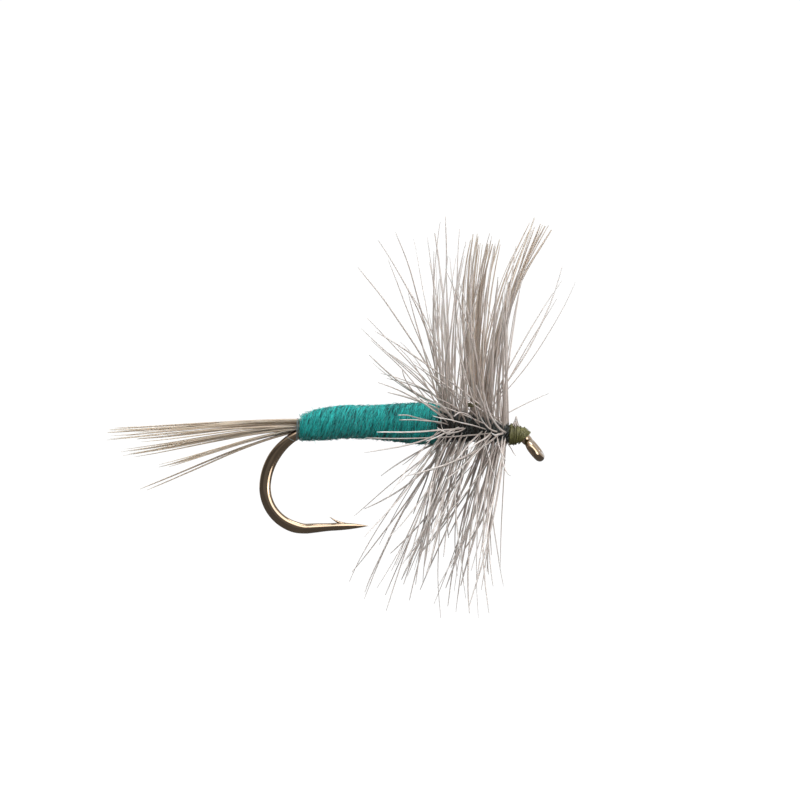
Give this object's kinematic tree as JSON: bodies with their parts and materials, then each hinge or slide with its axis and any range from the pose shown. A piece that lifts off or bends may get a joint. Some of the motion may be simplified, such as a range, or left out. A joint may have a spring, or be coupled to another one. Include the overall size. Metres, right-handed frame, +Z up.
{
  "type": "dry fly",
  "caption": "Fishing dry fly on a down-eye barbed hook, with teal wool body, hair-fine tail, two upright feather wings and a collar of stiff grey hackle.",
  "frame": {"origin": "centre of the hook eye's hole", "axes": "+X along the hook shank from the bend towards the eye, +Z up with the hook's point below the shank, +Y across the fly"},
  "size_m": [0.0223, 0.019, 0.0194],
  "materials": {
    "hook": "bronzed and lacquered wire, glossy",
    "thread": "waxed olive tying thread",
    "grey_thread": "fine blue-grey tying thread",
    "wool": "teal wool in close turns, with a soft nap",
    "dubbing": "dark dubbed fur",
    "tail_feather": "stiff grey-brown hackle fibre",
    "wing_feather": "tan-brown feather fibre",
    "hackle_feather": "grey-dun hackle, slightly translucent"
  },
  "bodies": {
    "root": {"hook": "hook", "thread_base": "thread", "butt_lashing": "thread", "wing_lashing": "thread", "wing_dam_wraps": "thread", "near_wing_post_wraps": "thread", "far_wing_post_wraps": "thread", "head_wraps_inner": "thread", "head_wraps_middle": "thread", "head_wraps_outer": "thread", "whip_finish": "thread", "tail_lashing": "grey_thread", "body_yarn": "wool", "thorax_dubbing_rear": "dubbing", "thorax_dubbing_front": "dubbing", "tail_fibre_01": "tail_feather", "tail_fibre_02": "tail_feather", "tail_fibre_03": "tail_feather", "tail_fibre_04": "tail_feather", "tail_fibre_05": "tail_feather", "tail_fibre_06": "tail_feather", "tail_fibre_07": "tail_feather", "tail_fibre_08": "tail_feather", "tail_fibre_09": "tail_feather", "tail_fibre_10": "tail_feather", "tail_fibre_11": "tail_feather", "tail_fibre_12": "tail_feather", "near_wing_fibre_1": "wing_feather", "near_wing_fibre_2": "wing_feather", "near_wing_fibre_3": "wing_feather", "near_wing_fibre_4": "wing_feather", "near_wing_fibre_5": "wing_feather", "near_wing_fibre_6": "wing_feather", "far_wing_fibre_1": "wing_feather", "far_wing_fibre_2": "wing_feather", "far_wing_fibre_3": "wing_feather", "far_wing_fibre_4": "wing_feather", "far_wing_fibre_5": "wing_feather", "far_wing_fibre_6": "wing_feather", "hackle_rear": "hackle_feather", "hackle_front": "hackle_feather", "trimmed_quill_end": "hackle_feather"}
  },
  "joints": []
}
